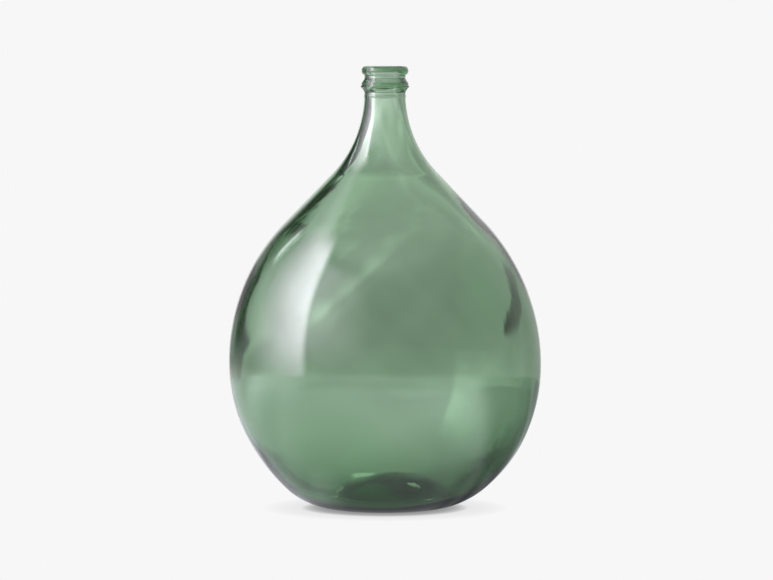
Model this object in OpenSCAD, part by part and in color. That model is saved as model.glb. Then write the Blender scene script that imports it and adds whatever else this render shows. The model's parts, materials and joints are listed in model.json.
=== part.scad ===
// Blown glass carboy: a round-shouldered vessel with a pushed-up base, a short neck and an open
// mouth. Two rings of glass are laid hot round the neck, a lip at the rim and a collar below it.
// Millimetres. The origin is on the bench, on the axis, and +Z runs up through the mouth.

/* [Body] */
// Height from the bench to the top of the lip
height = 560; // [545:1:585]
// Diameter at the widest level of the belly
belly_d = 396; // [384:1:404]
// Height of the widest level above the bench
belly_z = 185; // [178:1:192]
// Angle between the shoulder's straight stretch and the axis
shoulder_angle = 44.1; // [42:0.1:46]
// Radius of the flare that carries the shoulder into the neck
flare_r = 144; // [120:1:160]
// Thickness of the blown wall from the belly to the shoulder
wall = 4.5; // [3:0.1:6]

/* [Base] */
// Outer diameter of the ring that it stands on
ring_d = 114; // [104:1:124]
// Width of the flat of that ring
ring_w = 8; // [4:0.5:14]
// Radius of the heel between the ring and the belly
heel_r = 105; // [90:1:115]
// Thickness of the glass over the ring
floor_t = 8; // [6:0.5:12]
// Height of the punt, the dome pushed up into the base
punt_h = 30; // [20:1:40]
// Radius where the ring rolls over into the punt
punt_round = 10; // [4:0.5:12]
// Diameter of the pool of thick glass that lies inside, over the punt
pool_d = 168; // [150:2:180]
// Height of the top of that pool above the bench
pool_h = 44; // [40:1:52]
// Radius of the valley round the pool
valley_r = 12; // [6:1:16]

/* [Neck] */
// Bore of the mouth
bore_d = 46; // [34:0.5:48]
// Thickness of the neck tube round the bore
neck_wall = 3; // [2.4:0.1:8]
// Radius on the inner edge of the rim
rim_round = 1.6; // [1:0.1:5]
// Length of straight neck below the collar, before the flare begins
neck_run = 2.3; // [1:0.1:8]
// Distance from the collar down to the fine ridge left round the neck
ridge_drop = 5; // [3:0.5:10]
// Section radius of that ridge
ridge_r = 0.8; // [0.5:0.1:1.5]

/* [Lip ring] */
// How far the lip stands out from the neck
lip_out = 3.6; // [3.5:0.05:5]
// Height of the lip
lip_h = 13; // [11:0.5:15]
// Radius under the lip
lip_under = 6.2; // [1:0.1:6.5]

/* [Collar ring] */
// How far the collar's edge stands out from the neck
collar_out = 5; // [4:0.1:7]
// Height of the collar
collar_h = 17; // [14:0.5:20]
// Gap of bare neck between the lip and the collar
groove_h = 3; // [1:0.5:6]
// Height of the collar's edge above its foot
edge_h = 7; // [5:0.5:8.5]
// Radius of that edge
edge_r = 1.3; // [0.6:0.1:1.8]
// Height of the collar's soft bead above its edge
bead_rise = 4.5; // [3:0.1:5]
// How far the bead stands out from the neck
bead_out = 3.7; // [2:0.1:4]

/* [Hidden] */
$fn = 180;
glass = [0.46, 0.60, 0.49];

belly_r = belly_d / 2;
ring_r = ring_d / 2;
bore_r = bore_d / 2;
neck_r = bore_r + neck_wall;
lip_r = neck_r + lip_out;
collar_r = neck_r + collar_out;
bead_r = neck_r + bead_out;

// Half sections are drawn from this far behind the axis, and cut off at the axis
behind = -belly_d;
// Curves that run into each other overlap by this much, so that each joint is one clean crossing
join = 0.004;
// Angle by which a curve runs on past its joint, inside its neighbour
lap = 4;

// Levels of the finish, from the rim down
lip_bottom = height - lip_h;
collar_top = lip_bottom - groove_h;
collar_bottom = collar_top - collar_h;
flare_top = collar_bottom - neck_run;
ridge_z = collar_bottom - ridge_drop;

// The rim is highest where its inner and outer roundings meet
crown_r = bore_r + rim_round;
crown_round = lip_r - crown_r;

// Levels on the collar
edge_z = collar_bottom + edge_h;
bead_z = edge_z + bead_rise;

// The shoulder's straight stretch is the line at this distance from the origin, square to this
// direction. It is tangent to the flare, and the belly's upper curve is tangent to it.
shoulder_dir = [cos(shoulder_angle), sin(shoulder_angle)];
shoulder_reach = shoulder_dir * [neck_r + flare_r, flare_top] - flare_r;
upper_r = (shoulder_reach - shoulder_dir * [belly_r, belly_z]) / (1 - cos(shoulder_angle));
upper_centre = [belly_r - upper_r, belly_z];

// The punt's dome is tangent to the roll-over of the ring
punt_foot = ring_r - ring_w;
dome_r = (punt_foot ^ 2 + punt_h ^ 2 - 2 * punt_round * punt_h) / (2 * punt_h);

// The top of the pool is part of a sphere, which would reach the floor's level at the pool's diameter
pool_rise = pool_h - floor_t;
pool_r = ((pool_d / 2) ^ 2 + pool_rise ^ 2) / (2 * pool_rise);

// Radius of the belly's lower curve, which is tangent to the heel and upright at the widest level
function lower_radius(widest, heel, heel_z) =
    let (inward = ring_r - widest, down = belly_z - heel_z)
    (inward ^ 2 + down ^ 2 - heel ^ 2) / (-2 * (inward + heel));

// Centre of the flare that is tangent to a tube and to the shoulder's line
function flare_centre(tube_r, flare, reach) =
    [tube_r + flare, (reach + flare - shoulder_dir.x * (tube_r + flare)) / shoulder_dir.y];

// Radius of the outer surface at a level within the flare
function flare_radius(z) = neck_r + flare_r - sqrt(flare_r ^ 2 - (flare_top - z) ^ 2);

// Point at given distances from two centres, to the right of the way from the first to the second
function meeting(from, from_r, to, to_r) =
    let (
        way = to - from,
        apart = norm(way),
        along = (from_r ^ 2 - to_r ^ 2 + apart ^ 2) / (2 * apart),
        aside = sqrt(from_r ^ 2 - along ^ 2)
    )
    from + (along * way + aside * [way.y, -way.x]) / apart;

// Slice of a disc between two angles, at most a right angle apart
module slice(centre, r, from, to) {
    reach = 1.6 * r;
    translate(centre)
        intersection() {
            circle(r);
            polygon([[0, 0], reach * [cos(from), sin(from)], reach * [cos(to), sin(to)]]);
        }
}

// Half section of the body, a given distance inside the outer glass, from its floor to the top of
// its neck
module body_section(inset, floor_z, tube_r, top) {
    heel = heel_r - inset;
    heel_centre = [ring_r, floor_z + heel];
    lower = lower_radius(belly_r - inset, heel, heel_centre.y);
    lower_centre = [belly_r - inset - lower, belly_z];
    heel_end = atan2(heel_centre.y - belly_z, heel_centre.x - lower_centre.x);
    shoulder_start = upper_centre + (upper_r - inset) * shoulder_dir;
    flare = flare_r + inset;
    flare_mid = flare_centre(tube_r, flare, shoulder_reach - inset);
    shoulder_end = flare_mid - flare * shoulder_dir;
    intersection() {
        translate([0, floor_z])
            square([belly_d, top - floor_z]);
        difference() {
            union() {
                translate([behind, floor_z])
                    square([ring_r - behind, heel]);
                translate(heel_centre)
                    circle(heel + 3 * join);
                slice(lower_centre, lower + 2 * join, heel_end, lap);
                slice(upper_centre, upper_r - inset + join, 0, shoulder_angle + lap);
                polygon([
                    [behind, heel_centre.y],
                    heel_centre,
                    lower_centre,
                    upper_centre,
                    shoulder_start,
                    shoulder_end,
                    flare_mid,
                    [behind, flare_mid.y]
                ]);
                translate([behind, belly_z])
                    square([tube_r - behind, top - belly_z]);
            }
            slice(flare_mid, flare + join, 180 - lap, 180 + shoulder_angle + lap);
        }
    }
}

// Half section of the space under the dome and the roll-over of the punt
module punt_section() {
    dome_centre = [0, punt_h - dome_r];
    roll_centre = [punt_foot, punt_round];
    intersection() {
        square([punt_foot, punt_h]);
        union() {
            translate(dome_centre)
                circle(dome_r);
            difference() {
                polygon([dome_centre, roll_centre, [punt_foot, 0]]);
                translate(roll_centre)
                    circle(punt_round + join);
            }
        }
    }
}

// Half section of the pool of glass in the base, with the valley that carries it into the heel
module pool_section() {
    heel = heel_r - wall;
    heel_centre = [ring_r, floor_t + heel];
    pool_centre = [0, pool_h - pool_r];
    valley_centre = meeting(pool_centre, pool_r + valley_r, heel_centre, heel - valley_r);
    outward = (valley_centre - heel_centre) / (heel - valley_r);
    translate(pool_centre)
        circle(pool_r);
    difference() {
        polygon([pool_centre, valley_centre, heel_centre + heel_r * outward]);
        translate(valley_centre)
            circle(valley_r + 5 * join);
    }
}

// Half section of the finished rim, from the bore out to the lip
module rim_section() {
    translate([bore_r, collar_bottom])
        square([rim_round, height - rim_round - collar_bottom]);
    translate([crown_r, collar_bottom])
        square([crown_round, height - crown_round - collar_bottom]);
    slice([crown_r, height - rim_round], rim_round, 90, 180);
    slice([crown_r, height - crown_round], crown_round, 0, 90);
}

// Half section of the empty space inside the glass
module cavity_section() {
    difference() {
        body_section(wall, floor_t, bore_r, height);
        pool_section();
    }
}

// Blown body, shoulder and neck tube in one wall, with the punt and the fine ridge on the neck
module vessel() {
    color(glass)
        rotate_extrude()
            difference() {
                union() {
                    body_section(0, 0, neck_r, collar_top);
                    translate([flare_radius(ridge_z) - ridge_r / 2, ridge_z])
                        circle(ridge_r);
                    intersection() {
                        rim_section();
                        square([neck_r, height]);
                    }
                }
                cavity_section();
                punt_section();
            }
}

// Angular collar laid round the neck, with a narrow rounded edge
module collar_ring() {
    color(glass)
        rotate_extrude() {
            polygon([
                [neck_r, collar_bottom],
                [collar_r - edge_r, edge_z - edge_r],
                [collar_r - edge_r, edge_z + edge_r],
                [bead_r, bead_z],
                [neck_r, collar_top]
            ]);
            translate([collar_r - edge_r, edge_z])
                circle(edge_r);
        }
}

// Rounded lip laid round the top of the neck
module lip_ring() {
    under_r = lip_r - lip_under;
    color(glass)
        rotate_extrude()
            intersection() {
                rim_section();
                translate([neck_r, lip_bottom])
                    square([lip_out, lip_h]);
                union() {
                    translate([0, lip_bottom + lip_under])
                        square([lip_r, lip_h]);
                    translate([0, lip_bottom])
                        square([under_r, lip_under]);
                    slice([under_r, lip_bottom + lip_under], lip_under, -90, 0);
                }
            }
}

vessel();
collar_ring();
lip_ring();
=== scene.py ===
"""Looks of a blown glass carboy: one closed skin of green glass, with its studio and its camera.

The glass is one mesh, because the wall, the collar and the lip of a real one are fused together and
show no surface between them. Sizes are in millimetres up to the mesh, which is in metres.
"""

import json
import math

import bpy
import numpy as np
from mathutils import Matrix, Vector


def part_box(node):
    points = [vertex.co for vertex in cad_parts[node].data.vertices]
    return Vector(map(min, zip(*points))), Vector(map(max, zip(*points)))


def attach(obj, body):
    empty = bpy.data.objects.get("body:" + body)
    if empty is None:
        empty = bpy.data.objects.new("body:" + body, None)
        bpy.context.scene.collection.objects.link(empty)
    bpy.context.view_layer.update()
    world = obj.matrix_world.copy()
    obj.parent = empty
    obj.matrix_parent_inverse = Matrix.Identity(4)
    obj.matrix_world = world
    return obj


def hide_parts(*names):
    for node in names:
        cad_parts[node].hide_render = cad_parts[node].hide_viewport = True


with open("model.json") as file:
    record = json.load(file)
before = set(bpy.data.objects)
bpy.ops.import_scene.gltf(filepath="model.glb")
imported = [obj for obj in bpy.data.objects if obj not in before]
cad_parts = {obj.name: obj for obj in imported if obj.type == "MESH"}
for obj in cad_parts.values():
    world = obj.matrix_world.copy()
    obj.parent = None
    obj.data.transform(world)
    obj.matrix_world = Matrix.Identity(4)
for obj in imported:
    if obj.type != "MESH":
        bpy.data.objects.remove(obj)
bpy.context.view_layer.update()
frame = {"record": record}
MM = 0.001

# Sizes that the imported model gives
vessel_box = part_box("vessel")
collar_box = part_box("collar_ring")
lip_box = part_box("lip_ring")
mounts = {m["name"]: m for m in frame["record"]["mounts"]}
HEIGHT = vessel_box[1].z / MM
BELLY_R = vessel_box[1].x / MM
COLLAR_R = collar_box[1].x / MM
COLLAR_BOTTOM = collar_box[0].z / MM
COLLAR_TOP = collar_box[1].z / MM
LIP_R = lip_box[1].x / MM
LIP_BOTTOM = lip_box[0].z / MM
BORE_R = mounts["mouth_bore"]["dims"]["r_mm"]

# Body, as in the part
BELLY_Z = 185.0
SHOULDER = math.radians(44.1)
FLARE_R = 144.0
WALL = 4.5
RING_R = 57.0
RING_W = 8.0
HEEL_R = 105.0
FLOOR_T = 8.0
PUNT_H = 30.0
PUNT_ROUND = 10.0
MOUND_H = 44.0
MOUND_R = 84.0

# Neck and finish, as in the part
NECK_WALL = 3.0
NECK_R = BORE_R + NECK_WALL
NECK_RUN = 2.3
RIDGE_DROP = 5.0
RIDGE_RISE = 0.6
RIDGE_HALF = 1.1
RIM_ROUND = 1.6
LIP_UNDER = 6.2
EDGE_H = 7.0
EDGE_R = 1.3
BEAD_RISE = 4.5
BEAD_OUT = 3.7
BEAD_R = NECK_R + BEAD_OUT
FIRE_POLISH = 0.55

# Mesh: points round the axis, and steps along the profile. The flare's are finer by a factor, the
# finish begins a gap above the flare, and the rows of the floor are read from a finer curve
SEGMENTS = 256
BODY_STEP = 3.0
FLARE_FINER = 4
PUNT_STEP = 1.5
FINISH_STEP = 0.4
FINISH_GAP = 0.5
FLOOR_R = 130.0
FLOOR_STEP = 0.9
CURVE_STEP = 0.1
BUBBLE_RINGS = 8
BUBBLE_SIDES = 12


def smooth(low, high, x):
    """Rises from 0 at low to 1 at high, with level ends."""
    t = np.clip((x - low) / (high - low), 0, 1)
    return t * t * (3 - 2 * t)


def band(x, low, high, soft):
    """1 between two bounds, with soft edges."""
    return smooth(low - soft, low + soft, x) * (1 - smooth(high - soft, high + soft, x))


# Profile, as lists of (radius, height)
def arc(centre, radius, start, stop, step):
    """Points of an arc from start to stop, in radians, without its last point."""
    count = max(2, round(abs(stop - start) * radius / step))
    angles = np.linspace(start, stop, count, endpoint=False)
    return [(centre[0] + radius * math.cos(a), centre[1] + radius * math.sin(a)) for a in angles]


def line(start, stop, step):
    """Points of a straight stretch, without its last point."""
    count = max(1, round(math.dist(start, stop) / step))
    return [tuple(p) for p in np.linspace(start, stop, count, endpoint=False)]


def shoulder_reach():
    """Distance of the shoulder's outer line from the origin."""
    flare_top = COLLAR_BOTTOM - NECK_RUN
    return math.cos(SHOULDER) * (NECK_R + FLARE_R) + math.sin(SHOULDER) * flare_top - FLARE_R


def body_profile(inset, floor_z, tube_r, step=BODY_STEP):
    """From the foot ring up to the neck tube, a given distance inside the outer glass."""
    reach = shoulder_reach()
    direction = (math.cos(SHOULDER), math.sin(SHOULDER))
    upper_r = (reach - direction[0] * BELLY_R - direction[1] * BELLY_Z) / (1 - direction[0])
    upper_mid = (BELLY_R - upper_r, BELLY_Z)
    upper = upper_r - inset
    heel = HEEL_R - inset
    heel_mid = (RING_R, floor_z + heel)
    widest = BELLY_R - inset
    inward, down = RING_R - widest, BELLY_Z - heel_mid[1]
    lower = (inward**2 + down**2 - heel**2) / (-2 * (inward + heel))
    lower_mid = (widest - lower, BELLY_Z)
    heel_end = math.atan2(heel_mid[1] - BELLY_Z, heel_mid[0] - lower_mid[0])
    flare = FLARE_R + inset
    flare_x = tube_r + flare
    flare_mid = (flare_x, (reach - inset + flare - direction[0] * flare_x) / direction[1])
    shoulder_start = [upper_mid[i] + upper * direction[i] for i in (0, 1)]
    shoulder_end = [flare_mid[i] - flare * direction[i] for i in (0, 1)]
    return (
        arc(heel_mid, heel, -math.pi / 2, heel_end, step)
        + arc(lower_mid, lower, heel_end, 0, step)
        + arc(upper_mid, upper, 0, SHOULDER, step)
        + line(shoulder_start, shoulder_end, step)
        + arc(flare_mid, flare, math.pi + SHOULDER, math.pi, step / FLARE_FINER)
        + [(tube_r, flare_mid[1])]
    )


def neck_ridge(points):
    """Raises the fine ridge that the mould left round the neck."""
    level = COLLAR_BOTTOM - RIDGE_DROP
    return [(r + RIDGE_RISE * math.exp(-(((z - level) / RIDGE_HALF) ** 2)), z) for r, z in points]


def punt_profile():
    """From the crown of the punt out to the foot ring."""
    foot = RING_R - RING_W
    dome_r = (foot**2 + PUNT_H**2 - 2 * PUNT_ROUND * PUNT_H) / (2 * PUNT_H)
    dome_mid = (0.0, PUNT_H - dome_r)
    roll_mid = (foot, PUNT_ROUND)
    meet = math.atan2(roll_mid[1] - dome_mid[1], foot)
    return (
        arc(dome_mid, dome_r, math.pi / 2, meet, PUNT_STEP)
        + arc(roll_mid, PUNT_ROUND, math.pi + meet, 1.5 * math.pi, PUNT_STEP)
        + line((foot, 0.0), (RING_R, 0.0), PUNT_STEP)
    )


def finish_profile():
    """From the neck below the collar, over the collar, the groove and the lip, into the bore."""
    edge_z = COLLAR_BOTTOM + EDGE_H
    edge_mid = (COLLAR_R - EDGE_R, edge_z)
    crown_r = BORE_R + RIM_ROUND
    crown_round = LIP_R - crown_r
    under_mid = (LIP_R - LIP_UNDER, LIP_BOTTOM + LIP_UNDER)
    right = math.pi / 2
    corners = [
        (NECK_R, COLLAR_BOTTOM),
        (edge_mid[0], edge_z - EDGE_R),
        (edge_mid[0], edge_z + EDGE_R),
        (BEAD_R, edge_z + BEAD_RISE),
        (NECK_R, COLLAR_TOP),
    ]
    meet = -math.acos((NECK_R - under_mid[0]) / LIP_UNDER)
    lip_foot = (NECK_R, under_mid[1] + LIP_UNDER * math.sin(meet))
    points = (
        line((NECK_R, COLLAR_BOTTOM - NECK_RUN + FINISH_GAP), corners[0], FINISH_STEP)
        + line(corners[0], corners[1], FINISH_STEP)
        + arc(edge_mid, EDGE_R, -right, right, FINISH_STEP)
        + line(corners[2], corners[3], FINISH_STEP)
        + line(corners[3], corners[4], FINISH_STEP)
        + line(corners[4], lip_foot, FINISH_STEP)
        + arc(under_mid, LIP_UNDER, meet, 0, FINISH_STEP)
        + line((LIP_R, under_mid[1]), (LIP_R, HEIGHT - crown_round), FINISH_STEP)
        + arc((crown_r, HEIGHT - crown_round), crown_round, 0, right, FINISH_STEP)
        + arc((crown_r, HEIGHT - RIM_ROUND), RIM_ROUND, right, math.pi, FINISH_STEP)
        + line((BORE_R, HEIGHT - RIM_ROUND), (BORE_R, COLLAR_BOTTOM), FINISH_STEP * 2)
    )
    return soften(points, FIRE_POLISH)


def soften(points, spread):
    """Rounds a profile's corners over about this length, as flame polishing does."""
    p = np.array(points)
    passes = round(2 * (spread / FINISH_STEP) ** 2)
    for _ in range(passes):
        p[1:-1] = 0.25 * p[:-2] + 0.5 * p[1:-1] + 0.25 * p[2:]
    return [tuple(q) for q in p]


outer = punt_profile() + neck_ridge(body_profile(0, 0, NECK_R))
finish = finish_profile()
inner_wall = [p for p in body_profile(WALL, FLOOR_T, BORE_R) if p[0] > FLOOR_R or p[1] > BELLY_Z]
# Inside the base the rows are closer, and they run over the ring's level, which the pool then lifts
heel_curve = np.array([p for p in body_profile(WALL, FLOOR_T, BORE_R, CURVE_STEP) if p[1] < BELLY_Z])
floor_r = np.arange(FLOOR_R, 0, -FLOOR_STEP)
floor_rows = list(zip(floor_r, np.interp(floor_r, *heel_curve.T)))
profile = np.array(outer + finish + inner_wall[::-1] + floor_rows)
is_inner = np.arange(len(profile)) >= len(outer) + len(finish)
is_floor = np.arange(len(profile)) >= len(profile) - len(floor_rows)


def revolve(profile, place):
    """Points and faces of a closed skin of revolution whose first and last rows lie on the axis."""
    rows = len(profile)
    turn = np.arange(SEGMENTS) * (2 * math.pi / SEGMENTS)
    r = profile[1:-1, 0][:, None] * np.ones(SEGMENTS)
    z = profile[1:-1, 1][:, None] * np.ones(SEGMENTS)
    theta = turn[None, :] * np.ones((rows - 2, 1))
    body = place(r, z, theta).reshape(-1, 3)
    ends = np.array([[0, 0, profile[0, 1]], body[-SEGMENTS:].mean(axis=0)])
    first, last = len(body), len(body) + 1
    index = np.arange(len(body)).reshape(rows - 2, SEGMENTS)
    nxt = np.roll(index, -1, axis=1)
    quads = np.stack([index[:-1], nxt[:-1], nxt[1:], index[1:]], axis=-1).reshape(-1, 4)
    faces = quads.tolist()
    faces += [(first, int(b), int(a)) for a, b in zip(index[0], nxt[0])]
    faces += [(last, int(a), int(b)) for a, b in zip(index[-1], nxt[-1])]
    return np.vstack([body, ends]), faces


def bubble(centre, axes):
    """Points and faces of a closed bubble, with its skin turned to the air inside it."""
    polar = np.linspace(0, math.pi, BUBBLE_RINGS + 1)[1:-1]
    round_ = np.arange(BUBBLE_SIDES) * (2 * math.pi / BUBBLE_SIDES)
    p, t = np.meshgrid(polar, round_, indexing="ij")
    unit = np.stack([np.sin(p) * np.cos(t), np.sin(p) * np.sin(t), np.cos(p)], -1).reshape(-1, 3)
    unit = np.vstack([unit, [[0, 0, 1], [0, 0, -1]]])
    index = np.arange(p.size).reshape(p.shape)
    nxt = np.roll(index, -1, axis=1)
    faces = np.stack([index[:-1], nxt[:-1], nxt[1:], index[1:]], axis=-1).reshape(-1, 4).tolist()
    faces += [(p.size, int(b), int(a)) for a, b in zip(index[0], nxt[0])]
    faces += [(p.size + 1, int(a), int(b)) for a, b in zip(index[-1], nxt[-1])]
    return centre + unit @ axes, faces


# Marks of the blowing: a pool of glass off the axis in the base, a slight lean and an uneven wall.
# The pool's edge has waves, as share, count round it and phase, and its top has swells
MOUND_AT = (14.0, -4.0)
MOUND_EDGE = ((0.05, 2, 0.6), (0.05, 3, 2.0), (0.03, 5, 4.2))
MOUND_SWELL = ((0.5, 0.11, 0.05, 0.4), (0.4, -0.07, 0.13, 1.9), (0.2, 0.21, 0.09, 3.3))
# How flat the pool's top is on the average, and how much flatter at the front
MOUND_FLAT = (2.3, 0.5)
MOUND_BLEND = 4.0
# Fold in the skin of the pool: its place and half width as shares of the pool's radius, and its
# crests, each as rise, angle from +X and half angle
FOLD_AT = 0.75
FOLD_HALF = 0.028
FOLD_CRESTS = ((6.0, 1.85, 0.4), (7.0, 2.5, 0.45), (4.5, 0.65, 0.42))
FOLD_WIGGLE = ((0.025, 9, 0.5), (0.014, 17, 1.0))


def mound(x, y):
    """Height of the pool of thick glass over the punt, a low dome with a wavy edge."""
    px, py = x - MOUND_AT[0], y - MOUND_AT[1]
    turn = np.arctan2(py, px)
    out = np.hypot(px, py) / (1 + sum(a * np.cos(k * turn + p) for a, k, p in MOUND_EDGE))
    share = out / MOUND_R
    swell = sum(a * np.cos(kx * x + ky * y + p) for a, kx, ky, p in MOUND_SWELL)
    at = FOLD_AT + sum(a * np.cos(k * turn + p) for a, k, p in FOLD_WIGGLE)
    rise = sum(a * np.exp(-(((turn - t) / half) ** 2)) for a, t, half in FOLD_CRESTS)
    fold = rise * np.exp(-(((share - at) / FOLD_HALF) ** 2))
    flat = MOUND_FLAT[0] - MOUND_FLAT[1] * np.sin(turn)
    return FLOOR_T + (MOUND_H - FLOOR_T) * (1 - share**flat) + swell + fold


# Sideways lean of the body at these heights, evened out over these offsets of height
LEAN = ((0, 10, 45, 80, 115, 185, 300, 420, 450, 600), (-1.5, -0.4, 2.1, 1.6, 0.6, 0, -0.4, 0.5, 0, 0))
LEAN_BLEND = np.linspace(-25, 25, 21)
# Waves of the outer and of the inner face: size, count round the axis, height of one wave, phase
OUTER_WAVES = ((0.22, 2, 520, 0.3), (0.16, 3, -410, 2.1), (0.1, 5, 300, 4.0), (0.05, 9, -190, 1.1))
INNER_WAVES = ((0.4, 2, -430, 1.2), (0.3, 3, 260, 0.2), (0.2, 5, 170, 2.9), (0.1, 8, -120, 5.1))
# The waves come in over these heights, and go out from this one up to the collar
WAVES_IN = (25, 80)
WAVES_OUT = 470
# The pool's lift goes out from this radius to the end of the floor's rows
POOL_OUT = 105


def waves(theta, z, kinds):
    """How far waves of these kinds push a face out."""
    return sum(a * np.cos(k * theta + 2 * math.pi * z / tall + p) for a, k, tall, p in kinds)


def place(r, z, theta):
    """Points of the skin, from their places on the even profile."""
    inside = is_inner[1:-1][:, None]
    floor = is_floor[1:-1][:, None]
    body = smooth(*WAVES_IN, z) * (1 - smooth(WAVES_OUT, COLLAR_BOTTOM, z))
    r = r + body * np.where(inside, waves(theta, z, INNER_WAVES), 0)
    r = r + body * waves(theta, z, OUTER_WAVES)
    x, y = r * np.cos(theta), r * np.sin(theta)
    top = mound(x, y)
    pooled = (z + top + np.sqrt((z - top) ** 2 + MOUND_BLEND**2)) / 2
    z = np.where(floor, z + (pooled - z) * (1 - smooth(POOL_OUT, FLOOR_R, r)), z)
    x = x + np.mean([np.interp(z + d, *LEAN) for d in LEAN_BLEND], axis=0)
    return np.stack([x, y, z], axis=-1)


# Seeds, small bubbles caught in the wall: azimuth by the left, height, half length and half width
SEEDS = (
    (330.3, 390, 1.3, 0.8), (336, 67, 1.2, 0.8), (36, 209, 0.9, 0.6), (12, 262, 0.7, 0.5),
    (352, 152, 0.8, 0.5), (75, 300, 1.0, 0.6), (108, 142, 0.8, 0.6), (158, 331, 1.2, 0.6),
    (203, 118, 0.9, 0.7), (216, 262, 1.1, 0.6), (251, 372, 1.0, 0.7), (283, 92, 1.2, 0.7),
    (301, 233, 0.8, 0.5), (96, 415, 0.8, 0.5), (141, 62, 1.0, 0.7),
)
body_curve = np.array(body_profile(0, 0, NECK_R))


def seed(azimuth, z, half_long, half_wide):
    """A bubble in the middle of the wall, drawn out along the height."""
    a = math.radians(azimuth)
    out = np.array([-math.sin(a), -math.cos(a), 0.0])
    along = np.array([-math.cos(a), math.sin(a), 0.0])
    r = np.interp(z, body_curve[:, 1], body_curve[:, 0])
    slope = (np.interp(z + 1, body_curve[:, 1], body_curve[:, 0]) - r) * out + np.array([0, 0, 1.0])
    up = slope / np.linalg.norm(slope)
    normal = np.cross(along, up) * np.sign(np.dot(np.cross(along, up), out))
    along = np.cross(up, normal)
    centre = r * out + np.array([0, 0, z]) - WALL / 2 * normal
    return bubble(centre, np.array([normal * half_wide, -along * half_wide, up * half_long]))


skin, faces = revolve(profile, place)
for points, bubble_faces in (seed(*each) for each in SEEDS):
    faces += [tuple(len(skin) + i for i in face) for face in bubble_faces]
    skin = np.vstack([skin, points])
mesh = bpy.data.meshes.new("carboy_glass")
mesh.from_pydata((skin * MM).tolist(), [], faces)
mesh.polygons.foreach_set("use_smooth", [True] * len(mesh.polygons))
mesh.update()
glass = bpy.data.objects.new("carboy_glass", mesh)
bpy.context.scene.collection.objects.link(glass)


# Materials
def node_tree(name):
    """A new material, with its nodes and its links."""
    material = bpy.data.materials.new(name)
    material.use_nodes = True
    tree = material.node_tree
    tree.nodes.clear()
    return material, tree.nodes, tree.links


# Glass: how it bends light, what it lets through and how strongly it absorbs the rest
GLASS_IOR = 1.52
GLASS_COLOUR = (0.315, 0.615, 0.34, 1)
GLASS_DENSITY = 160.0
# Blown surface: haze, cords of a slightly other colour and ripples, all drawn out along the height.
# Each has a noise, as scale and detail
DRAWN = (1.0, 1.0, 0.45)
HAZE_FROM = (0.35, 0.75)
HAZE = (0.0, 0.04)
HAZE_NOISE = (16.0, 3.0)
CORD_TINT = (0.96, 1.0, 0.97, 1)
CORD_CLEAR = (1, 1, 1, 1)
CORD_NOISE = (9.0, 2.0)
RIPPLE_STRENGTH = 0.25
RIPPLE_DEPTH = 0.0003
RIPPLE_NOISE = (30.0, 2.0)
# Colour sockets of a Mix node: its two inputs and its output
MIX_A, MIX_B, MIX_OUT = 6, 7, 2


def glass_material():
    """Green glass, which absorbs by its thickness, with its blown surface."""
    material, nodes, links = node_tree("green_glass")
    out = nodes.new("ShaderNodeOutputMaterial")
    shader = nodes.new("ShaderNodeBsdfPrincipled")
    shader.inputs["IOR"].default_value = GLASS_IOR
    shader.inputs["Transmission Weight"].default_value = 1.0
    where = nodes.new("ShaderNodeTexCoord")
    drawn = nodes.new("ShaderNodeMapping")
    drawn.inputs["Scale"].default_value = DRAWN
    links.new(where.outputs["Object"], drawn.inputs["Vector"])

    def noise(scale, detail):
        node = nodes.new("ShaderNodeTexNoise")
        node.inputs["Scale"].default_value = scale
        node.inputs["Detail"].default_value = detail
        links.new(drawn.outputs["Vector"], node.inputs["Vector"])
        return node.outputs["Fac"]

    haze = nodes.new("ShaderNodeMapRange")
    haze.inputs["From Min"].default_value = HAZE_FROM[0]
    haze.inputs["From Max"].default_value = HAZE_FROM[1]
    haze.inputs["To Min"].default_value = HAZE[0]
    haze.inputs["To Max"].default_value = HAZE[1]
    links.new(noise(*HAZE_NOISE), haze.inputs["Value"])
    links.new(haze.outputs["Result"], shader.inputs["Roughness"])
    cords = nodes.new("ShaderNodeMix")
    cords.data_type = "RGBA"
    cords.inputs[MIX_A].default_value = CORD_TINT
    cords.inputs[MIX_B].default_value = CORD_CLEAR
    links.new(noise(*CORD_NOISE), cords.inputs["Factor"])
    links.new(cords.outputs[MIX_OUT], shader.inputs["Base Color"])
    ripple = nodes.new("ShaderNodeBump")
    ripple.inputs["Strength"].default_value = RIPPLE_STRENGTH
    ripple.inputs["Distance"].default_value = RIPPLE_DEPTH
    links.new(noise(*RIPPLE_NOISE), ripple.inputs["Height"])
    links.new(ripple.outputs["Normal"], shader.inputs["Normal"])
    absorb = nodes.new("ShaderNodeVolumeAbsorption")
    absorb.inputs["Color"].default_value = GLASS_COLOUR
    absorb.inputs["Density"].default_value = GLASS_DENSITY
    links.new(shader.outputs["BSDF"], out.inputs["Surface"])
    links.new(absorb.outputs["Volume"], out.inputs["Volume"])
    return material


glass.data.materials.append(glass_material())
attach(glass, "root")
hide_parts("vessel", "collar_ring", "lip_ring")

# Studio. The glass shows it in three ways: mirrored in its near wall, mirrored inside, and through it.
WHITE = 0.93
world = bpy.data.worlds.new("studio")
bpy.context.scene.world = world
world.use_nodes = True
world.node_tree.nodes["Background"].inputs["Color"].default_value = (WHITE, WHITE, WHITE, 1)
world.node_tree.nodes["Background"].inputs["Strength"].default_value = 1.0


def sheet(name, points, faces):
    """A piece of the staging."""
    mesh = bpy.data.meshes.new(name)
    mesh.from_pydata(points, [], faces)
    mesh.update()
    card = bpy.data.objects.new(name, mesh)
    bpy.context.scene.collection.objects.link(card)
    return card


FLOOR_HALF = 60.0
FLOOR_CORNERS = ((-1, -1), (1, -1), (1, 1), (-1, 1))
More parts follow.
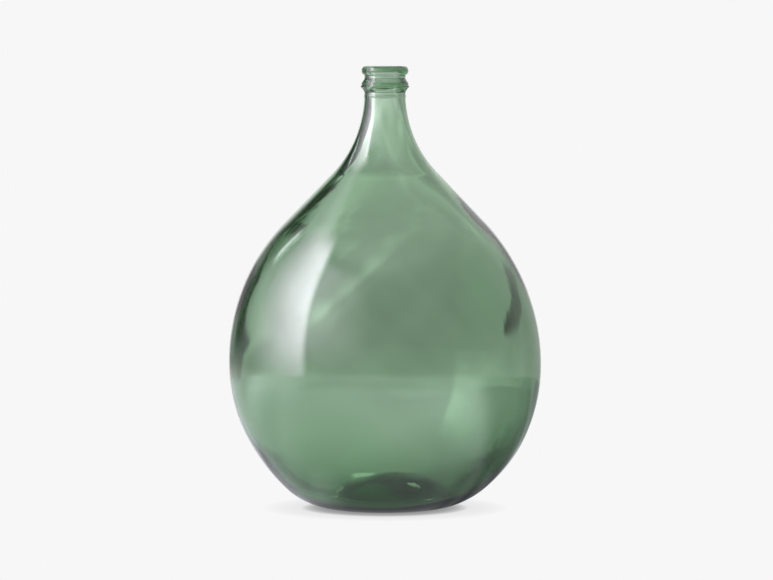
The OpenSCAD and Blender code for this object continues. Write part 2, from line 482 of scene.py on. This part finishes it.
# Contact shade of the glass on the floor: how far it looks up, and how much it takes away
CONTACT = ((0.011, 0.50), (0.04, 0.18))
CONTACT_SAMPLES = 16
CONTACT_LEFT = WHITE * (1 - sum(share for reach, share in CONTACT))
floor = sheet("floor", [(FLOOR_HALF * x, FLOOR_HALF * y, 0) for x, y in FLOOR_CORNERS], [(0, 1, 2, 3)])
material, nodes, links = node_tree("floor")
out = nodes.new("ShaderNodeOutputMaterial")
glow = nodes.new("ShaderNodeEmission")
light = None
for reach, share in CONTACT:
    near = nodes.new("ShaderNodeAmbientOcclusion")
    near.samples = CONTACT_SAMPLES
    near.inputs["Distance"].default_value = reach
    part = nodes.new("ShaderNodeMath")
    part.operation = "MULTIPLY_ADD"
    part.inputs[1].default_value = share * WHITE
    part.inputs[2].default_value = CONTACT_LEFT
    links.new(near.outputs["AO"], part.inputs[0])
    if light is not None:
        links.new(light, part.inputs[2])
    light = part.outputs["Value"]
links.new(light, glow.inputs["Color"])
links.new(glow.outputs["Emission"], out.inputs["Surface"])
material.cycles.emission_sampling = "NONE"
floor.data.materials.append(material)

# A mirrored ray has a glossy depth above the first bound. One that the near wall mirrors has passed at
# most two faces of the glass, so its transmission depth is below the second
MIRROR_DEPTH = 0.5
FACE_DEPTH = 2.5


def toned(name, points, faces, mirrored, inside, through):
    """A card that only the glass sees, with a tone for each way of seeing it at each of its points."""
    card = sheet(name, points, faces)
    for layer_name, tones in (("mirrored", mirrored), ("inside", inside), ("through", through)):
        layer = card.data.color_attributes.new(layer_name, "FLOAT_COLOR", "POINT")
        layer.data.foreach_set("color", np.hstack([tones, np.ones((len(tones), 1))]).ravel())
    material, nodes, links = node_tree(name)
    out = nodes.new("ShaderNodeOutputMaterial")
    glow = nodes.new("ShaderNodeEmission")
    path = nodes.new("ShaderNodeLightPath")

    def tone(layer_name):
        node = nodes.new("ShaderNodeAttribute")
        node.attribute_name = layer_name
        return node.outputs["Color"]

    def pick(depth, above, low, high):
        """The first tone, or the second one where the ray's depth is above a bound."""
        test = nodes.new("ShaderNodeMath")
        test.operation = "GREATER_THAN"
        test.inputs[1].default_value = above
        links.new(path.outputs[depth], test.inputs[0])
        mix = nodes.new("ShaderNodeMix")
        mix.data_type = "RGBA"
        links.new(test.outputs["Value"], mix.inputs["Factor"])
        links.new(low, mix.inputs[MIX_A])
        links.new(high, mix.inputs[MIX_B])
        return mix.outputs[MIX_OUT]

    reflected = pick("Transmission Depth", FACE_DEPTH, tone("mirrored"), tone("inside"))
    links.new(pick("Glossy Depth", MIRROR_DEPTH, tone("through"), reflected), glow.inputs["Color"])
    links.new(glow.outputs["Emission"], out.inputs["Surface"])
    material.cycles.emission_sampling = "NONE"
    card.data.materials.append(material)
    card.visible_camera = False
    card.visible_diffuse = False
    card.visible_shadow = False


def grid(us, vs, place):
    """Points and faces of a grid, with the two parameters of each point."""
    u, v = np.meshgrid(us, vs, indexing="ij")
    u, v = u.ravel(), v.ravel()
    n = len(vs)
    faces = [
        (i * n + j, (i + 1) * n + j, (i + 1) * n + j + 1, i * n + j + 1)
        for i in range(len(us) - 1)
        for j in range(n - 1)
    ]
    return u, v, place(u, v), faces


# Azimuths are in degrees from the camera's side, by the left: 90 is left, 180 behind and 270 right.
# The cards begin and end at the front right. Heights and radii on them are in metres.
AZ_FROM, AZ_TO = -60, 300
TENT_R = 1.6
TENT_H = 3.2
CARD_LIFT = 0.0004
NEUTRAL = np.array([1.0, 1.0, 1.0])
COOL = np.array([0.95, 0.98, 1.03])
# Open end of a band of heights or radii, beyond all of them
OPEN = 9.0


def on_wall(az, z):
    """Points of the wall of the tent."""
    a = np.radians(az)
    return np.stack([-TENT_R * np.sin(a), -TENT_R * np.cos(a), z], -1).tolist()


def on_floor(az, r):
    """Points just above the floor."""
    a = np.radians(az)
    return np.stack([-r * np.sin(a), -r * np.cos(a), np.full_like(r, CARD_LIFT)], -1).tolist()


def over(base, tone, mask):
    """Lays a tone over a base, by a mask from 0 to 1."""
    return base + (tone - base) * mask


# A patch is a tone or a factor, a band of azimuths and a band of heights or radii. A band is two bounds
# and its softness
def patch_mask(az_band, at_band, az, at):
    return band(az, *az_band) * band(at, *at_band)


def patched(tone, patches, az, at):
    """Lays patches over a tone, one after the other."""
    for laid, *bands in patches:
        tone = over(tone, laid, patch_mask(*bands, az, at))
    return tone


def scaled(tone, patches, az, at):
    """Multiplies a tone by the factors of patches."""
    for factor, *bands in patches:
        tone = tone * over(1.0, factor, patch_mask(*bands, az, at))
    return tone


def ripples(kinds, az, z):
    """Sum of waves, each as size, radians for each degree and for each metre, and phase."""
    return sum(a * np.cos(ka * az + kz * z + p) for a, ka, kz, p in kinds)


# Window card to the left: its front edge leans back with the height, and it fades to the back
WINDOW_EDGE = ((0, 0.6, 0.9, 1.2, 1.56, 2.05, 2.58, 3.2), (58.5, 59.6, 61.6, 63, 65.2, 69.5, 75, 82))
WINDOW_SOFT = 3.0
WINDOW_LEVEL = (
    (0, 0.1, 0.45, 0.65, 0.9, 1.15, 2.1, 2.4, 2.7, 3.0),
    (2.6, 3.4, 6.6, 7.2, 8.6, 9.6, 8.8, 6.5, 3.5, 1),
)
WINDOW_FADE = ((0, 6, 18, 30, 40, 52, 66, 75), (1, 1, 0.74, 0.44, 0.26, 0.1, 0.05, 0))
WINDOW_TINT = np.array([1.2, 1.0, 1.25])
# Curtain in front of the window, and a narrow light behind it
CURTAIN = ((10, 30, 45, 58), (0, 0.8, 1.3, 2.0))
CURTAIN_Z = (0.35, 2.1, 0.3)
PANE = (124.8, 129.2, 0.8)
PANE_LEVEL = ((1.0, 1.1, 1.48, 1.54, 1.8, 1.9), (0, 3.5, 3.5, 0.8, 0.4, 0))
# Inside the glass the window is dimmer with the height, and the room and the floor are even
INSIDE = ((0, 0.35, 0.8, 1.1, 1.5, 1.9, 2.3), (0.3, 0.4, 0.75, 0.75, 0.5, 0.15, 0))
INSIDE_ROOM = 0.6
INSIDE_FLOOR = 0.35


def window_light(az, z):
    past = az - np.interp(z, *WINDOW_EDGE)
    window = smooth(-WINDOW_SOFT, WINDOW_SOFT, past)
    lit = window * np.interp(past, *WINDOW_FADE) * np.interp(z, *WINDOW_LEVEL)
    curtain = np.interp(az, *CURTAIN) * (1 - window) * band(z, *CURTAIN_Z)
    return (lit + curtain)[:, None] * WINDOW_TINT


def inside_wall(az, z):
    return window_light(az, z) * np.interp(z, *INSIDE)[:, None] + INSIDE_ROOM


# Room in the near wall's mirror: its tone by azimuth, white high up but for a stretch at the left,
# patches at the left and at the right, and a pale foot
ROOM = (
    (-60, 0, 20, 50, 64, 100, 125, 150, 155, 160, 168, 190, 208, 226, 260, 300),
    (0.25, 0.1, 0.2, 0.4, 0.2, 0.1, 0.03, 0.03, 0.4, 0.9, 0.9, 1.0, 0.95, 0.8, 0.5, 0.25),
)
ROOM_HIGH = (1.5, 3.0)
ROOM_STRETCH = (115, 150, 10)
ROOM_LEFT = ((0.6, (115, 165, 15), (-OPEN, 0.15, 0.15)), (0.35, (143, 157, 4), (-OPEN, 0.75, 0.15)))
ROOM_RIGHT = ((0.5, (200, 240, 6), (-OPEN, 0.75, 0.15)),)
ROOM_FOOT = (0.0, 0.1)
ROOM_FOOT_TO = 200
ROOM_FOOT_SHARE = 0.7


def mirrored_wall(az, z):
    room = np.interp(az, *ROOM)
    room = over(room, WHITE, smooth(*ROOM_HIGH, z) * (1 - band(az, *ROOM_STRETCH)))
    room = patched(room, ROOM_LEFT, az, z)
    foot = ROOM_FOOT_SHARE * (1 - smooth(*ROOM_FOOT, z)) * (az < ROOM_FOOT_TO)
    room = patched(over(room, WHITE, foot), ROOM_RIGHT, az, z)
    pane = np.interp(z, *PANE_LEVEL) * band(az, *PANE)
    return room[:, None] * NEUTRAL + window_light(az, z) + pane[:, None] * COOL


# Backdrop, seen through the glass: its tone by height, with a faint unevenness
BACKDROP = (
    (0.03, 0.09, 0.16, 0.27, 0.32, 0.345, 0.37, 0.4, 0.43, 0.45, 0.475, 0.5, 0.53, 0.57, 0.65, 1.2, 1.6, 2.0),
    (0.56, 0.47, 0.45, 0.48, 0.51, 0.57, 0.65, 0.79, 0.93, 1, 0.96, 0.77, 0.66, 0.72, 0.62, 0.6, 0.5, 0.1),
)
MOTTLE = ((0.03, 0.9, 31, 0.3), (0.025, -1.6, 47, 2.0), (0.015, 2.3, 83, 4.1))
# To the right it falls off behind the neck, and it has patches and a dimmer end
RIGHT_FALL = ((180, 182, 184, 186, 189), (1, 0.88, 0.69, 0.5, 0.45))
RIGHT_FALL_Z = (0.44, 0.6, 0.02)
RIGHT_FALL_TO = 230
RIGHT_PATCHES = ((1.1, (186, 189.5, 1.0), (-OPEN, 0.33, 0.03)), (0.8, (181.8, 190, 1.0), (0.355, 0.45, 0.02)))
RIGHT_TONE = 0.45
RIGHT_FROM = (191.5, 194)
RIGHT_TO = (206, 216)
RIGHT_TOP = (0.7, 0.8)
# To the left it has a glow by the dark card, and it is lighter behind the neck
LEFT_FROM = 140
GLOW_TONE = 0.8
GLOW_TO = (168, 173)
GLOW_Z = (0.1, 0.335, 0.02)
NECK_LIGHT = 1.36
NECK_LIGHT_TO = (173, 180)
NECK_LIGHT_Z = (0.345, 0.49, 0.015)
# Ragged lights on it: a slanted bar, and clouds as azimuth, height, half sizes and light
RAGGED = ((0.35, 1.9, 70, 0.8), (0.3, -3.1, 130, 2.2), (0.2, 4.7, -190, 0.1))
BAR_AT = ((0.13, 0.16, 0.205, 0.235, 0.285, 0.31, 0.33), (174.9, 176.3, 177.8, 179.0, 180.0, 181.2, 182.4))
BAR_LIGHT = ((0.11, 0.15, 0.2, 0.24, 0.31, 0.335), (0, 0.16, 0.17, 0.2, 0.14, 0))
BAR_HALF = 1.1
CLOUDS = (
    (176.6, 0.29, 1.3, 0.024, 0.14),
    (175.9, 0.343, 1.4, 0.016, 0.14),
    (175.6, 0.16, 1.2, 0.026, 0.16),
)
# Dark card at its left, with the azimuth of its slanted edge by height, and a dark strip at its right
DARK = 0.03
CARD_EDGE_Z = (
    *(0.05, 0.13, 0.18, 0.225, 0.26, 0.29, 0.317, 0.336, 0.35),
    *(0.36, 0.37, 0.38, 0.41, 0.44, 0.465, 0.485, 0.55),
)
CARD_EDGE_AZ = (
    *(168, 167.2, 164.5, 162.7, 163.2, 165.5, 166, 167.3, 169.5),
    *(171.5, 172.6, 175.3, 175.5, 173, 172.8, 173, 168),
)
CARD_SOFT = 0.4
CARD_FROM = (145, 149)
CARD_FOOT = (0.02, 0.06)
STRIP_AT = ((0.16, 0.18, 0.22, 0.28, 0.33), (190.4, 190.3, 190.8, 192, 193.5))
STRIP = (-1.15, 1.15, 0.25)
STRIP_Z = (0.15, 0.34, 0.015)


def through_wall(az, z):
    tone = np.interp(z, *BACKDROP)
    tone = tone * over(1.0, np.interp(az, *RIGHT_FALL), band(z, *RIGHT_FALL_Z) * (az < RIGHT_FALL_TO))
    tone = scaled(tone, RIGHT_PATCHES, az, z)
    right = smooth(*RIGHT_FROM, az) * (1 - smooth(*RIGHT_TO, az)) * (1 - smooth(*RIGHT_TOP, z))
    tone = over(tone, RIGHT_TONE, right) * (1 + ripples(MOTTLE, az, z))
    left = az > LEFT_FROM
    tone = over(tone, GLOW_TONE, (1 - smooth(*GLOW_TO, az)) * left * band(z, *GLOW_Z))
    ragged = 1 + ripples(RAGGED, az, z)
    off = (az - np.interp(z, *BAR_AT)) / BAR_HALF
    tone = tone + ragged * np.interp(z, *BAR_LIGHT) * np.exp(-(off**2))
    for at, level, half_az, half_z, light in CLOUDS:
        tone = tone + light * ragged * np.exp(-(((az - at) / half_az) ** 2) - ((z - level) / half_z) ** 2)
    tone = tone * over(1.0, NECK_LIGHT, (1 - smooth(*NECK_LIGHT_TO, az)) * left * band(z, *NECK_LIGHT_Z))
    card = 1 - smooth(-CARD_SOFT, CARD_SOFT, az - np.interp(z, CARD_EDGE_Z, CARD_EDGE_AZ))
    tone = over(tone, DARK, card * smooth(*CARD_FROM, az) * smooth(*CARD_FOOT, z))
    tone = over(tone, DARK, band(az - np.interp(z, *STRIP_AT), *STRIP) * band(z, *STRIP_Z))
    return tone[:, None] * NEUTRAL


# Floor, seen through the glass: its tone by radius, and its shade by azimuth
# The floor is darker near the base: painted shade of the glass
FLOOR_TONE = (
    (0.0, 0.05, 0.06, 0.1, 0.16, 0.2, 0.25, 0.42, 0.8, 1.2, 1.6),
    (0.3, 0.3, 0.3, 0.33, 0.36, 0.42, 0.48, 0.57, 0.61, 0.59, 0.54),
)
FLOOR_SHADE = ((150, 178, 186, 190, 193, 197), (1.05, 1.02, 0.9, 0.82, 0.72, 0.62))
# Painted shadow of the glass on the floor behind the base, left and right: its edges' azimuths at these radii
LEFT_FLOOR_SHADOW = ((0.08, 0.105, 0.175, 0.29, 0.4), (122, 125, 133, 148, 158))
LEFT_FLOOR_SHADOW_SOFT = 4
LEFT_FLOOR_SHADOW_FROM = (95, 105)
LEFT_FLOOR_SHADOW_NEAR = (0.05, 0.09)
LEFT_FLOOR_SHADOW_FAR = (0.26, 0.46)
RIGHT_FLOOR_SHADOW = ((0.08, 0.11, 0.19, 0.35, 0.6, 1.0), (238, 232, 215, 202, 198, 196))
RIGHT_FLOOR_SHADOW_SOFT = 3
RIGHT_FLOOR_SHADOW_TONE = ((0.35, 0.6), (DARK, 0.25))
RIGHT_FLOOR_SHADOW_FAR = (0.6, 1.0)
RIGHT_FLOOR_SHADOW_END = ((0.1, 0.2, 0.35, 0.6), (265, 245, 235, 220))
RIGHT_FLOOR_SHADOW_END_SOFT = 15


def through_floor(az, r):
    tone = np.interp(r, *FLOOR_TONE) * np.interp(az, *FLOOR_SHADE)
    # Painted shadow of the glass on the floor behind the base, at its left and at its right
    left = 1 - smooth(-LEFT_FLOOR_SHADOW_SOFT, LEFT_FLOOR_SHADOW_SOFT, az - np.interp(r, *LEFT_FLOOR_SHADOW))
    left = left * smooth(*LEFT_FLOOR_SHADOW_FROM, az) * smooth(*LEFT_FLOOR_SHADOW_NEAR, r) * (1 - smooth(*LEFT_FLOOR_SHADOW_FAR, r))
    tone = over(tone, DARK, left)
    right = smooth(-RIGHT_FLOOR_SHADOW_SOFT, RIGHT_FLOOR_SHADOW_SOFT, az - np.interp(r, *RIGHT_FLOOR_SHADOW))
    right = right * (1 - smooth(0, RIGHT_FLOOR_SHADOW_END_SOFT, az - np.interp(r, *RIGHT_FLOOR_SHADOW_END)))
    tone = over(tone, np.interp(r, *RIGHT_FLOOR_SHADOW_TONE), right * (1 - smooth(*RIGHT_FLOOR_SHADOW_FAR, r)))
    return tone[:, None] * NEUTRAL


# Floor in the near wall's mirror: patches of painted shadow and light on white, and painted shade that
# makes it dimmer near the base, but for these shares at the back and at the left
FLOOR_PATCHES = (
    (0.2, (224, 290, 10), (-OPEN, OPEN, 1.0)),
    (0.32, (226, 240, 8), (-OPEN, 0.4, 0.1)),
    (0.65, (216, 240, 6), (-OPEN, 0.155, 0.025)),
    (0.35, (200, 224, 6), (0.425, OPEN, 0.075)),
    (0.7, (112, 139, 6), (-OPEN, 0.3, 0.05)),
)
MIRRORED_FLOOR_SHADE = ((0.058, 0.09, 0.11, 0.13, 0.16, 0.2, 0.4), (0.2, 0.28, 0.42, 0.58, 0.75, 0.9, 1.0))
MIRRORED_FLOOR_UNSHADED = ((1.0, (145, 236, 6), (0.095, OPEN, 0.015)), (0.6, (52, 100, 12), (0.1, OPEN, 0.015)))
# Round the heel, with azimuths from -180: lighter at the right, dimmer at the front right, and lighter at
# the front left and in front
HEEL_PATCHES = (
    (1.9, (-110, -82, 8), (-OPEN, 0.17, 0.03)),
    (0.55, (-66, -48, 10), (-OPEN, 0.195, 0.045)),
    (1.7, (34, 54, 8), (0.1, 0.17, 0.02)),
    (1.5, (-75, 75, 10), (0.22, 0.8, 0.08)),
)
# Light of the window on the floor
FLOOR_WINDOW = 1.5
FLOOR_WINDOW_AZ = (60, 110, 12)
FLOOR_WINDOW_R = (0.25, 1.0)


def mirrored_floor(az, r):
    tone = patched(np.full(len(az), WHITE), FLOOR_PATCHES, az, r)
    # Painted shade near the base, lifted at the back and at the left
    full = np.max([share * patch_mask(*bands, az, r) for share, *bands in MIRRORED_FLOOR_UNSHADED], axis=0)
    tone = tone * over(np.interp(r, *MIRRORED_FLOOR_SHADE), 1.0, full)
    tone = scaled(tone, HEEL_PATCHES, (az + 180) % 360 - 180, r)
    tone = tone + FLOOR_WINDOW * smooth(*FLOOR_WINDOW_R, r) * band(az, *FLOOR_WINDOW_AZ)
    return tone[:, None] * COOL


# Points of the cards, closer together where the tones are finer
WALL_AZ = np.unique(
    np.concatenate([np.arange(AZ_FROM, AZ_TO + 1, 2.0), np.arange(140, 215, 0.25), np.arange(50, 90, 0.5)])
)
WALL_Z = np.concatenate([np.linspace(0, 0.6, 81), np.linspace(0.65, TENT_H, 40)])
FLOOR_AZ = np.arange(AZ_FROM, AZ_TO + 1, 3.0)
FLOOR_RINGS = np.concatenate([np.linspace(0.058, 0.4, 36), np.linspace(0.43, TENT_R, 40)])
PUNT_RINGS = np.linspace(0.001, 0.048, 6)
u, v, points, faces = grid(WALL_AZ, WALL_Z, on_wall)
toned("tent_wall", points, faces, mirrored_wall(u, v), inside_wall(u, v), through_wall(u, v))
for name, rings in (("tent_floor", FLOOR_RINGS), ("tent_punt", PUNT_RINGS)):
    u, v, points, faces = grid(FLOOR_AZ, rings, on_floor)
    inside = np.full((len(u), 3), INSIDE_FLOOR)
    toned(name, points, faces, mirrored_floor(u, v), inside, through_floor(u, v))

# Small light high at the back, which the skin of the pool in the base shows
TOP_AT = (0.45, 1.2)
TOP_AZ = np.arange(0, 361, 10.0)
TOP_RINGS = np.linspace(0.01, 0.5, 8)
TOP_LEVEL = 10.0
u, v, points, faces = grid(TOP_AZ, TOP_RINGS, on_floor)
points = [(x + TOP_AT[0], y + TOP_AT[1], TENT_H) for x, y, z in points]
plain = np.full((len(u), 3), WHITE)
toned("tent_top", points, faces, plain, plain * TOP_LEVEL, plain)

# Camera, at the photo's angle
LENS = 184.14
SENSOR = 36.0
CLIP_END = 200.0
CAMERA_AT = (0.0019, -5.0, 0.545)
CAMERA_DOWN = 0.0536
cam = bpy.data.cameras.new("camera")
cam.lens = LENS
cam.sensor_width = SENSOR
cam.clip_end = CLIP_END
camera = bpy.data.objects.new("camera", cam)
camera.location = CAMERA_AT
camera.rotation_euler = (math.pi / 2 - CAMERA_DOWN, 0, 0)
bpy.context.scene.collection.objects.link(camera)
bpy.context.scene.camera = camera
bpy.context.scene.view_settings.view_transform = "Standard"
